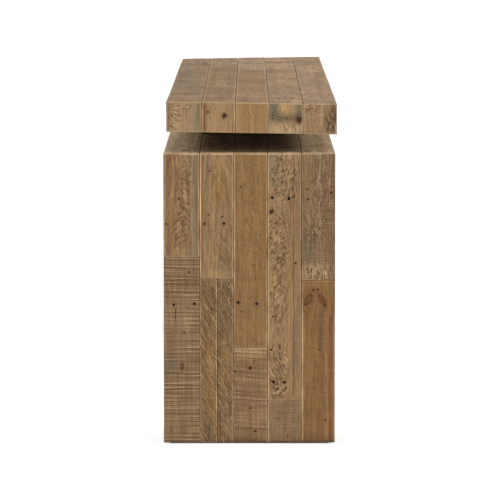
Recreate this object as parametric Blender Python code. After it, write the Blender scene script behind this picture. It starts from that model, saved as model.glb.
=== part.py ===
# Console table in reclaimed pine. Two legs and a deck make one mitred, board-clad
# "waterfall" base, and a thick slab floats above the deck on a recessed plinth.
# Metres, +Z up. X runs along the table and its front faces -Y, so the right-hand end
# is at +X. The origin is on the floor, under the middle of the table.

import math

import bmesh
import bpy
from mathutils import Euler, Vector

# Overall size
LENGTH = 2.000
BASE_DEPTH = 0.400
SLAB_DEPTH = 0.396
HEIGHT = 0.800
SLAB_SET_BACK = 0.005  # from the middle of the base back to the middle of the slab
FOOT_HEIGHT = 0.003

# The hollow boxes: slab, deck and legs are built alike
BOX_THICKNESS = 0.072
BOARD = 0.020  # outer boards
PANEL = 0.012  # panels on the hidden faces
SHADOW_GAP = 0.046  # open height between deck and slab
JOINT_GAP = 0.0004  # open width of a joint between two boards
REST_GAP = 0.0003  # between a piece and what it rests on
EDGE_EASE = 0.0008

# Where the boards meet, measured from the middle of the slab or base, front to back
SLAB_ROW_EDGES = (-0.198, -0.115, -0.0375, 0.0405, 0.1195, 0.198)
BASE_ROW_EDGES = (-0.200, -0.1155, -0.0362, 0.0426, 0.1214, 0.200)
SLAB_END_JOINTS = {2: -0.50, 3: -0.34, 4: -0.34}  # row: X of the joint between two boards
STAVE_JOINTS = {1: 0.439, 2: 0.388, 3: 0.226, 4: 0.101, 5: 0.385}  # row: height of it
RIPPED_ROW = 2  # its lower stave is two narrow strips
RIPPED_AT = -0.075

# Core frames
CORE_STILE = 0.040
CORE_END_RAIL = 0.080
CORE_LEG_RAIL = 0.050
BOLT_RIB = 0.080

# Plinth between deck and slab, and the bolts through it
PLINTH_LENGTH = 0.800
PLINTH_DEPTH = 0.240
BOLT_SPACING = 0.600
BOLT_RADIUS = 0.005
BOLT_HEAD_RADIUS = 0.008
BOLT_HEAD_HEIGHT = 0.010
BOLT_LENGTH = 0.140
BOLT_CLEARANCE = 0.0006
BOLT_SEGMENTS = 24

FOOT_STRIP_WIDTH = 0.050
FOOT_STRIP_INSET = 0.015

# Levels worked out from the sizes above
BASE_Y = ((BASE_DEPTH - SLAB_DEPTH) / 2 - SLAB_SET_BACK) / 2
SLAB_Y = BASE_Y + SLAB_SET_BACK
END_X = LENGTH / 2
SLAB_BOTTOM = HEIGHT - BOX_THICKNESS
DECK_TOP = SLAB_BOTTOM - SHADOW_GAP
DECK_BOTTOM = DECK_TOP - BOX_THICKNESS
CORE_THICKNESS = BOX_THICKNESS - BOARD - PANEL - 2 * REST_GAP

# Colours of the wood, board by board, front to back
SLAB_COLOURS = ("#99826a", "#9b8368", "#a0866b", "#a48a6e", "#a58b72")
SLAB_END_COLOURS = ("#9b8061", "#9a7a57", "#9c7b54", "#90785c", "#8f7355")
DECK_COLOURS = ("#7e6953", "#846c54", "#866f56", "#86705a", "#88735e")
STAVE_COLOURS = {
    "1_upper": "#8a6d4f",
    "1_lower": "#866b4e",
    "2_upper": "#917352",
    "2_lower_front": "#836647",
    "2_lower_back": "#806648",
    "3_upper": "#8d6c48",
    "3_lower": "#886b4d",
    "4_upper": "#8f7353",
    "4_lower": "#846a4e",
    "5_upper": "#846a4f",
    "5_lower": "#846140",
}
LEFT_STAVE_COLOURS = ("#8d7050", "#866a4c", "#91744f", "#8a6e52", "#836349")
SIDE_COLOUR = "#8b6e50"
PANEL_COLOUR = "#86694b"
CORE_COLOUR = "#b08d5c"
PLINTH_COLOUR = "#2b221a"
STEEL_COLOUR = "#8c8f92"
FELT_COLOUR = "#3b332b"

WOOD_ROUGHNESS = 0.75
FELT_ROUGHNESS = 0.95
STEEL_ROUGHNESS = 0.35

# How a board that was made lying face up is turned to face each way
TURNS = {
    "up": (0, 0, 0),
    "down": (180, 0, 0),
    "right": (90, 0, 90),
    "left": (90, 0, -90),
    "front": (90, 0, 0),
    "back": (90, 0, 180),
}


def clear_scene():
    for thing in list(bpy.data.objects):
        bpy.data.objects.remove(thing, do_unlink=True)


def linear_colour(hex_colour):
    channels = []
    for start in (1, 3, 5):
        value = int(hex_colour[start : start + 2], 16) / 255
        channels.append(value / 12.92 if value < 0.04045 else ((value + 0.055) / 1.055) ** 2.4)
    return (*channels, 1.0)


def finish(thing, colour, roughness, metallic=0.0):
    """Gives the object a material of its own."""
    material = bpy.data.materials.new(f"{thing.name}_finish")
    material.use_nodes = True
    shader = material.node_tree.nodes["Principled BSDF"]
    shader.inputs["Base Color"].default_value = linear_colour(colour)
    shader.inputs["Roughness"].default_value = roughness
    shader.inputs["Metallic"].default_value = metallic
    thing.data.materials.append(material)


def add_group(name, location):
    """An empty that the pieces of one assembly hang on."""
    group = bpy.data.objects.new(name, None)
    group.location = location
    bpy.context.scene.collection.objects.link(group)
    return group


def add_object(name, mesh_maker, location, turn, group):
    """Turns a bmesh into a placed object under its group."""
    mesh = bpy.data.meshes.new(name)
    bmesh.ops.recalc_face_normals(mesh_maker, faces=mesh_maker.faces)
    mesh_maker.to_mesh(mesh)
    mesh_maker.free()
    thing = bpy.data.objects.new(name, mesh)
    thing.parent = group
    thing.location = location - group.location
    thing.rotation_euler = turn
    bpy.context.scene.collection.objects.link(thing)
    return thing


def ease_edges(thing):
    bevel = thing.modifiers.new("eased_edges", "BEVEL")
    bevel.width = EDGE_EASE
    bevel.segments = 1
    bevel.limit_method = "ANGLE"
    bevel.angle_limit = math.radians(30)


def on_face(facing, level, u, v):
    """The point at u, v on the plane that faces this way at this level."""
    if facing in ("up", "down"):
        return Vector((u, v, level))
    if facing in ("right", "left"):
        return Vector((level, u, v))
    return Vector((u, level, v))


def rectangle(u_low, u_high, v_low, v_high):
    """Corners in the order that makes sides: v low, u high, v high, u low."""
    return ((u_low, v_low), (u_high, v_low), (u_high, v_high), (u_low, v_high))


def inset_outline(corners, distances):
    """Moves side i of a convex outline, from corner i to the next, inwards by distances[i]."""
    count = len(corners)
    turning = sum(
        corners[i].x * corners[(i + 1) % count].y - corners[(i + 1) % count].x * corners[i].y
        for i in range(count)
    )
    sides = []
    for i in range(count):
        along = (corners[(i + 1) % count] - corners[i]).normalized()
        inward = Vector((-along.y, along.x)) * math.copysign(1, turning)
        sides.append((corners[i] + inward * distances[i], along))
    moved = []
    for i in range(count):
        (start, along), (other, across) = sides[i - 1], sides[i]
        reach = (other - start).cross(across) / along.cross(across)
        moved.append(start + along * reach)
    return moved


def add_board(name, facing, level, outline, mitres, thickness, colour, group):
    """A board whose outer face lies at this level and has this outline.

    Side i of its inner face stands mitres[i] inside side i of the outer one: its
    thickness at a mitre, 0 at a square edge, and less than 0 in an inside corner.
    """
    turn = Euler([math.radians(angle) for angle in TURNS[facing]])
    placed = [on_face(facing, level, u, v) for u, v in outline]
    centre = sum(placed, Vector()) / len(placed)
    flat = [(turn.to_matrix().transposed() @ (point - centre)).to_2d() for point in placed]
    half_gap = JOINT_GAP / 2
    outer = inset_outline(flat, [half_gap] * len(flat))
    inner = inset_outline(flat, [half_gap + mitre for mitre in mitres])
    maker = bmesh.new()
    top = [maker.verts.new((point.x, point.y, 0)) for point in outer]
    bottom = [maker.verts.new((point.x, point.y, -thickness)) for point in inner]
    maker.faces.new(top)
    maker.faces.new(bottom)
    for i in range(len(top)):
        after = (i + 1) % len(top)
        maker.faces.new((top[i], top[after], bottom[after], bottom[i]))
    board = add_object(name, maker, centre, turn, group)
    ease_edges(board)
    finish(board, colour, WOOD_ROUGHNESS)
    return board


def add_ladder(name, facing, level, u_edges, v_edges, windows, thickness, group):
    """A frame of stiles and rails: cells between the edges, with some left open."""
    turn = Euler([math.radians(angle) for angle in TURNS[facing]])
    centre = on_face(
        facing,
        level,
        (u_edges[0] + u_edges[-1]) / 2,
        (v_edges[0] + v_edges[-1]) / 2,
    )
    maker = bmesh.new()
    grid = {}
    for i, u in enumerate(u_edges):
        for j, v in enumerate(v_edges):
            local = turn.to_matrix().transposed() @ (on_face(facing, level, u, v) - centre)
            grid[i, j] = maker.verts.new(local)
    for i in range(len(u_edges) - 1):
        for j in range(len(v_edges) - 1):
            if (i, j) not in windows:
                maker.faces.new((grid[i, j], grid[i + 1, j], grid[i + 1, j + 1], grid[i, j + 1]))
    raised = bmesh.ops.extrude_face_region(maker, geom=list(maker.faces))
    moving = [part for part in raised["geom"] if isinstance(part, bmesh.types.BMVert)]
    bmesh.ops.translate(maker, verts=moving, vec=(0, 0, -thickness))
    ladder = add_object(name, maker, centre, turn, group)
    finish(ladder, CORE_COLOUR, WOOD_ROUGHNESS)
    return ladder


def add_block(name, low, high, colour, roughness, group):
    """A square-cut piece between two corners."""
    low, high = Vector(low), Vector(high)
    maker = bmesh.new()
    bmesh.ops.create_cube(maker, size=1)
    bmesh.ops.scale(maker, vec=high - low, verts=maker.verts)
    block = add_object(name, maker, (low + high) / 2, Euler(), group)
    finish(block, colour, roughness)
    return block


def add_turned(name, profile, foot, group):
    """A round piece from (radius, height) pairs, from its lower end up."""
    maker = bmesh.new()
    rings = []
    for radius, height in profile:
        ring = []
        for step in range(BOLT_SEGMENTS):
            angle = 2 * math.pi * step / BOLT_SEGMENTS
            point = (radius * math.cos(angle), radius * math.sin(angle), height)
            ring.append(maker.verts.new(point))
        rings.append(ring)
    for lower, upper in zip(rings, rings[1:]):
        for step in range(BOLT_SEGMENTS):
            after = (step + 1) % BOLT_SEGMENTS
            maker.faces.new((lower[step], lower[after], upper[after], upper[step]))
    maker.faces.new(rings[0])
    maker.faces.new(rings[-1])
    turned = add_object(name, maker, Vector(foot), Euler(), group)
    turned.data.shade_smooth()
    turned.data.set_sharp_from_angle(angle=math.radians(35))
    return turned


def build_slab(group):
    """Five rows of boards on top, five blocks across each end, and a board down each side."""
    edges = [SLAB_Y + edge for edge in SLAB_ROW_EDGES]
    for row in range(1, 6):
        front, back = edges[row - 1], edges[row]
        front_mitre = BOARD if row == 1 else 0
        back_mitre = BOARD if row == 5 else 0
        joint = SLAB_END_JOINTS.get(row)
        if joint is None:
            runs = [("", -END_X, END_X, BOARD, BOARD)]
        else:
            runs = [("_left", -END_X, joint, BOARD, 0), ("_right", joint, END_X, 0, BOARD)]
        for suffix, left, right, left_mitre, right_mitre in runs:
            add_board(
                f"slab_board_{row}{suffix}",
                "up",
                HEIGHT,
                rectangle(left, right, front, back),
                (front_mitre, right_mitre, back_mitre, left_mitre),
                BOARD,
                SLAB_COLOURS[row - 1],
                group,
            )
        for end, level in (("right", END_X), ("left", -END_X)):
            add_board(
                f"slab_{end}_block_{row}",
                end,
                level,
                rectangle(front, back, SLAB_BOTTOM, HEIGHT),
                (0, back_mitre, BOARD, front_mitre),
                BOARD,
                SLAB_END_COLOURS[row - 1],
                group,
            )
    for side, level in (("front", edges[0]), ("back", edges[-1])):
        add_board(
            f"slab_{side}_board",
            side,
            level,
            rectangle(-END_X, END_X, SLAB_BOTTOM, HEIGHT),
            (0, BOARD, BOARD, BOARD),
            BOARD,
            SIDE_COLOUR,
            group,
        )
    inside_x = END_X - BOARD
    inside = rectangle(-inside_x, inside_x, edges[0] + BOARD, edges[-1] - BOARD)
    panel = add_board(
        "slab_bottom_panel", "down", SLAB_BOTTOM, inside, (0, 0, 0, 0), PANEL, PANEL_COLOUR, group
    )
    core = build_long_core(
        "slab_core_frame", SLAB_BOTTOM + PANEL, SLAB_Y, SLAB_DEPTH, group
    )
    return panel, core


def build_long_core(name, bottom, middle_y, depth, group):
    """The ladder frame inside the slab or the deck, with a rib at each bolt."""
    reach = END_X - BOARD - REST_GAP
    half = depth / 2 - BOARD - REST_GAP
    rib_low = BOLT_SPACING / 2 - BOLT_RIB / 2
    rib_high = BOLT_SPACING / 2 + BOLT_RIB / 2
    end_rail = reach - CORE_END_RAIL
    u_edges = (-reach, -end_rail, -rib_high, -rib_low, rib_low, rib_high, end_rail, reach)
    v_edges = (-half, -half + CORE_STILE, half - CORE_STILE, half)
    return add_ladder(
        name,
        "up",
        bottom + REST_GAP + CORE_THICKNESS,
        u_edges,
        [middle_y + v for v in v_edges],
        {(1, 1), (3, 1), (5, 1)},
        CORE_THICKNESS,
        group,
    )


def build_deck(group):
    """The lower boards, which meet the staves of both legs in a mitre."""
    edges = [BASE_Y + edge for edge in BASE_ROW_EDGES]
    boards = []
    for row in range(1, 6):
        front_mitre = BOARD if row == 1 else 0
        back_mitre = BOARD if row == 5 else 0
        board = add_board(
            f"deck_board_{row}",
            "up",
            DECK_TOP,
            rectangle(-END_X, END_X, edges[row - 1], edges[row]),
            (front_mitre, BOARD, back_mitre, BOARD),
            BOARD,
            DECK_COLOURS[row - 1],
            group,
        )
        boards.append(board)
    leg_inside = END_X - BOX_THICKNESS
    frame_outline = (
        (-leg_inside, DECK_BOTTOM),
        (leg_inside, DECK_BOTTOM),
        (END_X, DECK_TOP),
        (-END_X, DECK_TOP),
    )
    for side, level in (("front", edges[0]), ("back", edges[-1])):
        add_board(
            f"deck_{side}_board",
            side,
            level,
            frame_outline,
            (0, 0, BOARD, 0),
            BOARD,
            SIDE_COLOUR,
            group,
        )
    underside = rectangle(-leg_inside, leg_inside, edges[0] + BOARD, edges[-1] - BOARD)
    add_board(
        "deck_bottom_panel",
        "down",
        DECK_BOTTOM,
        underside,
        (0, -PANEL, 0, -PANEL),
        PANEL,
        PANEL_COLOUR,
        group,
    )
    core = build_long_core(
        "deck_core_frame", DECK_BOTTOM + PANEL, BASE_Y, BASE_DEPTH, group
    )
    return boards[2], core


def stave_pieces(row, ends_jointed):
    """(suffix, front, back, bottom, top) of each piece in a row of a leg's outer face."""
    front, back = BASE_Y + BASE_ROW_EDGES[row - 1], BASE_Y + BASE_ROW_EDGES[row]
    if not ends_jointed:
        return [("", front, back, FOOT_HEIGHT, DECK_TOP)]
    joint = STAVE_JOINTS[row]
    pieces = [("_upper", front, back, joint, DECK_TOP)]
    if row == RIPPED_ROW:
        split = BASE_Y + RIPPED_AT
        pieces.append(("_lower_front", front, split, FOOT_HEIGHT, joint))
        pieces.append(("_lower_back", split, back, FOOT_HEIGHT, joint))
    else:
        pieces.append(("_lower", front, back, FOOT_HEIGHT, joint))
    return pieces


def build_leg(end, group):
    """One leg: staves outside, a panel inside, a board down each edge, and a core frame."""
    way = 1 if end == "right" else -1
    half_depth = BASE_DEPTH / 2
    outside = way * END_X
    inside = way * (END_X - BOX_THICKNESS)
    for row in range(1, 6):
        for suffix, front, back, bottom, top in stave_pieces(row, end == "right"):
            at_deck = BOARD if top == DECK_TOP else 0
            colour = STAVE_COLOURS.get(f"{row}{suffix}", LEFT_STAVE_COLOURS[row - 1])
            add_board(
                f"{end}_leg_stave_{row}{suffix}",
                end,
                outside,
                rectangle(front, back, bottom, top),
                (0, BOARD if row == 5 else 0, at_deck, BOARD if row == 1 else 0),
                BOARD,
                colour,
                group,
            )
    edge_outline = (
        (inside, FOOT_HEIGHT),
        (outside, FOOT_HEIGHT),
        (outside, DECK_TOP),
        (inside, DECK_BOTTOM),
    )
    for side, level in (("front", BASE_Y - half_depth), ("back", BASE_Y + half_depth)):
        add_board(
            f"{end}_leg_{side}_edge",
            side,
            level,
            edge_outline,
            (0, BOARD, 0, 0),
            BOARD,
            SIDE_COLOUR,
            group,
        )
    inner_half = half_depth - BOARD
    add_board(
        f"{end}_leg_inner_panel",
        "left" if end == "right" else "right",
        inside,
        rectangle(BASE_Y - inner_half, BASE_Y + inner_half, FOOT_HEIGHT, DECK_BOTTOM),
        (0, 0, -PANEL, 0),
        PANEL,
        PANEL_COLOUR,
        group,
    )
    half = inner_half - REST_GAP
    core_top = DECK_BOTTOM + PANEL
    core_bottom = FOOT_HEIGHT + REST_GAP
    middle = (core_bottom + core_top) / 2
    add_ladder(
        f"{end}_leg_core_frame",
        end,
        way * (END_X - BOARD - REST_GAP),
        [BASE_Y + y for y in (-half, -half + CORE_STILE, half - CORE_STILE, half)],
        (
            core_bottom,
            core_bottom + CORE_LEG_RAIL,
            middle - CORE_LEG_RAIL / 2,
            middle + CORE_LEG_RAIL / 2,
            core_top - CORE_LEG_RAIL,
            core_top,
        ),
        {(1, 1), (1, 3)},
        CORE_THICKNESS,
        group,
    )
    strip_middle = way * (END_X - BOX_THICKNESS / 2)
    strip_half = half_depth - FOOT_STRIP_INSET
    add_block(
        f"{end}_leg_foot_strip",
        (strip_middle - FOOT_STRIP_WIDTH / 2, BASE_Y - strip_half, 0),
        (strip_middle + FOOT_STRIP_WIDTH / 2, BASE_Y + strip_half, FOOT_HEIGHT),
        FELT_COLOUR,
        FELT_ROUGHNESS,
        group,
    )


def build_plinth(group):
    half_length = PLINTH_LENGTH / 2
    half_depth = PLINTH_DEPTH / 2
    return add_block(
        "spacer_plinth",
        (-half_length, -half_depth, DECK_TOP + REST_GAP),
        (half_length, half_depth, SLAB_BOTTOM - REST_GAP),
        PLINTH_COLOUR,
        WOOD_ROUGHNESS,
        group,
    )


def bolt_profile(clearance):
    """Cap-headed bolt from the underside of its head, head first."""
    head = BOLT_HEAD_RADIUS + clearance
    shank = BOLT_RADIUS + clearance
    return (
        (head, -BOLT_HEAD_HEIGHT - clearance),
        (head, clearance),
        (shank, clearance),
        (shank, BOLT_LENGTH + clearance),
    )


def bolt_through(pieces, group):
    """Two bolts, from a recess under the deck's core frame up into the slab's."""
    head_seat = DECK_BOTTOM + PANEL + REST_GAP + BOLT_HEAD_HEIGHT + 2 * BOLT_CLEARANCE
    for end, x in (("right", BOLT_SPACING / 2), ("left", -BOLT_SPACING / 2)):
        bolt = add_turned(f"plinth_bolt_{end}", bolt_profile(0), (x, 0, head_seat), group)
        finish(bolt, STEEL_COLOUR, STEEL_ROUGHNESS, metallic=1.0)
        drill = add_turned(f"drill_{end}", bolt_profile(BOLT_CLEARANCE), (x, 0, head_seat), group)
        drill.hide_render = True
        drill.display_type = "WIRE"
        for piece in pieces:
            hole = piece.modifiers.new(f"bolt_hole_{end}", "BOOLEAN")
            hole.operation = "DIFFERENCE"
            hole.solver = "EXACT"
            hole.object = drill


def main():
    clear_scene()
    slab = add_group("slab", Vector((0, SLAB_Y, SLAB_BOTTOM)))
    base = add_group("base", Vector((0, BASE_Y, 0)))
    slab_panel, slab_core = build_slab(slab)
    middle_board, deck_core = build_deck(base)
    build_leg("right", base)
    build_leg("left", base)
    plinth = build_plinth(base)
    bolt_through([slab_panel, slab_core, middle_board, deck_core, plinth], base)


main()
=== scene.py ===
import math
import bpy
import numpy as np
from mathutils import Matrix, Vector


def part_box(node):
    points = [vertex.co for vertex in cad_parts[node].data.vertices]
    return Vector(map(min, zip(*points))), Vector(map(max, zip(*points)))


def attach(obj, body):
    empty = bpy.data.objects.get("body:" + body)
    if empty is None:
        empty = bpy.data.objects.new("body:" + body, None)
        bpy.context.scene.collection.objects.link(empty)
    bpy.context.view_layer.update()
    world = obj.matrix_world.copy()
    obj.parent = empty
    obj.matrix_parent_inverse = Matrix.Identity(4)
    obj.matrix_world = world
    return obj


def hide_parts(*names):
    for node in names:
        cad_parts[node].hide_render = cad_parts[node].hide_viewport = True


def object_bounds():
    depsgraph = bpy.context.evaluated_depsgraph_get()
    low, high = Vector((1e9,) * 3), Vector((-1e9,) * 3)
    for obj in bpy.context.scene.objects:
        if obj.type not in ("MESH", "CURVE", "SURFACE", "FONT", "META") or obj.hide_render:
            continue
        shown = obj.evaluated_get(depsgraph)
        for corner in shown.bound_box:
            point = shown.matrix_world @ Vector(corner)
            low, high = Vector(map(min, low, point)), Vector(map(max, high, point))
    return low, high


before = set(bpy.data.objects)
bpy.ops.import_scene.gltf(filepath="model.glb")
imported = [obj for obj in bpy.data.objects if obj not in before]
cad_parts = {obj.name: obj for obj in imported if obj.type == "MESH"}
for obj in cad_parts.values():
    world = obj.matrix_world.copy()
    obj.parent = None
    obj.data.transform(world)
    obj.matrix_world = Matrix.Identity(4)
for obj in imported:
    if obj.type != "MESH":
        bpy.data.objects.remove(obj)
cadLow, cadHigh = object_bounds()

mm = 0.001
boardThickness = 20 * mm
panelThickness = 12 * mm
arrisDepth = 3.2 * mm  # below this a board's walls lean in to its mitres
slabTwist = 3.0 * mm
rustBrown = "#5a3116"
# dark brown of seam dirt, and of the painted shade in the seams and at the foot of the leg
dirtAndShadeBrown = "#25180d"
slabLow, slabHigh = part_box("slab_board_1")[0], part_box("slab_board_5")[1]
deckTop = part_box("deck_board_3")[1].z
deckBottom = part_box("deck_bottom_panel")[0].z
baseMiddle = (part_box("deck_board_1")[0].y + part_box("deck_board_5")[1].y) / 2
slabMiddle = (slabLow.y + slabHigh.y) / 2
boxThickness = deckTop - deckBottom


def linearColour(hexColour):
    # sRGB hex to the linear values a shader takes
    values = [int(hexColour[i : i + 2], 16) / 255 for i in (1, 3, 5)]
    return tuple(v / 12.92 if v < 0.04045 else ((v + 0.055) / 1.055) ** 2.4 for v in values)


def addNode(tree, kind, inputs=None, **settings):
    # inputs may hold plain values or the output sockets of other nodes
    node = tree.nodes.new(kind)
    for key, value in settings.items():
        setattr(node, key, value)
    for key, value in (inputs or {}).items():
        if isinstance(value, bpy.types.NodeSocket):
            tree.links.new(value, node.inputs[key])
        else:
            node.inputs[key].default_value = value
    return node


# noise for shaping the wood

def smoothNoise(x, y, seed):
    # from -1 to 1, one bump to each whole step of x and y
    x0 = np.floor(x).astype(np.int64)
    y0 = np.floor(y).astype(np.int64)
    fx = x - x0
    fy = y - y0
    fx = fx * fx * (3 - 2 * fx)
    fy = fy * fy * (3 - 2 * fy)

    def corner(i, j):
        mixed = (i * 374761393 + j * 668265263 + seed * 69069) & 0xFFFFFFFF
        mixed = ((mixed ^ (mixed >> 13)) * 1274126177) & 0xFFFFFFFF
        return ((mixed ^ (mixed >> 16)) & 0xFFFF) / 32767.5 - 1

    low = corner(x0, y0) * (1 - fx) + corner(x0 + 1, y0) * fx
    high = corner(x0, y0 + 1) * (1 - fx) + corner(x0 + 1, y0 + 1) * fx
    return low * (1 - fy) + high * fy


def blotches(a, b, sizeA, sizeB, seed):
    coarse = smoothNoise(a / sizeA, b / sizeB, seed)
    return 0.65 * coarse + 0.35 * smoothNoise(a / sizeA * 2.3, b / sizeB * 2.3, seed + 7)


def ramp(x, low, high):
    # 0 below low and 1 above high, or the other way round when high is less than low
    t = np.clip((x - low) / (high - low), 0, 1)
    return t * t * (3 - 2 * t)


# the shape and the marks of one board

# facing: along axis, across axis, outward axis and its sign. Grain runs along.
axesOf = {
    "up": (0, 1, 2, 1),
    "down": (0, 1, 2, -1),
    "right": (2, 1, 0, 1),
    "left": (2, 1, 0, -1),
    "front": (0, 2, 1, -1),
    "back": (0, 2, 1, 1),
    "frontUpright": (2, 0, 1, -1),
    "backUpright": (2, 0, 1, 1),
}

plainLook = {
    "tint": "#8b6e50",
    "ring": 4.5,  # mm between growth rings
    "pith": (10, 60, 0.05),  # mm across, mm deep, and how fast it drifts along
    "waver": 3.0,  # mm that the rings wander
    "figure": 1.0,  # how strongly the rings show
    "saws": (),  # angle, pitch, length of a stroke, depth, strength
    "hatches": (),  # patches: across, along, half width, half length, angle, pitch, length, strength
    "stains": (),  # hex, across, half width, low, high, strength
    "bands": 0.0,  # patchy tone in bands that lie across the board
    "knots": (),  # across, along, radius, stretch, lean
    "nails": (),  # across, along, radius
    "cracks": (),  # across, low, high, width
    "joints": (),  # where one length of wood ends and the next begins, along
    "seams": (),  # the same, across
    "wornAndLit": {},  # how pale the arris is on each side: wear and a painted highlight
    "dirtAndShade": 0.7,  # how dark the seams are: dirt and painted shade
    "wander": (),  # seeds of the seams at across-low and across-high, which neighbours share
    "ease": 1.1,  # mm radius of the arris
    "footShade": 0.0,  # how dark the end that stands on the floor is: painted contact shade
    "sunk": 0.0,  # mm that the face lies below its neighbours
    "cup": 0.0,
    "step": (2.2, 3.0),  # mm between points along and across
}


def pointsAlong(length, step, places):
    # even steps, with closer ones at the ends and near small features
    points = list(np.linspace(0, length, max(3, round(length / step) + 1)))
    near = np.array([0.35, 0.9, 1.8]) * mm
    keep = [0, length, *near, *(length - near)]
    for place, reach, fine in places:
        steps = round(reach / fine)
        keep += list(place + np.arange(-steps, steps + 1) * fine)
    keep = np.array(sorted(k for k in keep if 0 <= k <= length))
    keep = keep[np.insert(np.diff(keep) > 0.15 * mm, 0, True)]
    keep[-1] = length
    spare = [p for p in points if np.abs(keep - p).min() > step * 0.4]
    return np.array(sorted([*keep, *spare]))


def strokes(a, b, angle, pitch, length, even, seed):
    # short scratches a pitch apart, in mm; at angle 0 they lie straight across the board
    # even: 1 for the steady lines of a saw, 0 for loose ticks
    turn = math.radians(angle)
    wobble = 0.12 * pitch * mm * blotches(a, b, 45 * mm, 45 * mm, seed)
    across = a * math.cos(turn) + b * math.sin(turn) + wobble
    along = b * math.cos(turn) - a * math.sin(turn)
    fine = smoothNoise(along / (length * mm), across / (0.4 * pitch * mm), seed + 1)
    fine += 0.6 * smoothNoise(along / (0.4 * length * mm), across / (0.25 * pitch * mm), seed + 2)
    line = np.floor(across / (pitch * mm))
    place = across / (pitch * mm) - line + 0.12 * smoothNoise(line * 1.3, along / (length * mm), seed + 4)
    weight = np.clip(0.5 + 0.75 * smoothNoise(line * 1.7, along / (2 * length * mm), seed + 3), 0, 1.2)
    cut = np.exp(-(((place - 0.42) / 0.12) ** 2)) - 0.35 * np.exp(-(((place - 0.70) / 0.12) ** 2))
    return np.tanh(1.5 * (even * weight * cut + (1 - 0.8 * even) * fine))


def sawMarks(a, b, angle, pitch, length, strength, seed):
    patch = ramp(blotches(a, b, 65 * mm, 40 * mm, seed + 5), -0.75, 0.25)
    marks = strokes(a, b, angle, pitch, length, 1.0, seed)
    return strength * np.where(marks < 0, 0.7 * marks, marks) * (0.35 + 0.65 * patch)


def hatchMarks(a, b, hatch, seed):
    across, along, halfWidth, halfLength, angle, pitch, length, strength = hatch
    edge = 0.4 * blotches(a, b, 12 * mm, 7 * mm, seed + 8)
    away = np.hypot((b / mm - across) / halfWidth, (a / mm - along) / halfLength)
    inside = ramp(away + edge, 1.15, 0.55)
    marks = strokes(a, b, angle, pitch, length, 0.15, seed)
    return strength * inside * np.where(marks < 0, 0.45 * marks, 1.3 * marks)


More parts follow.
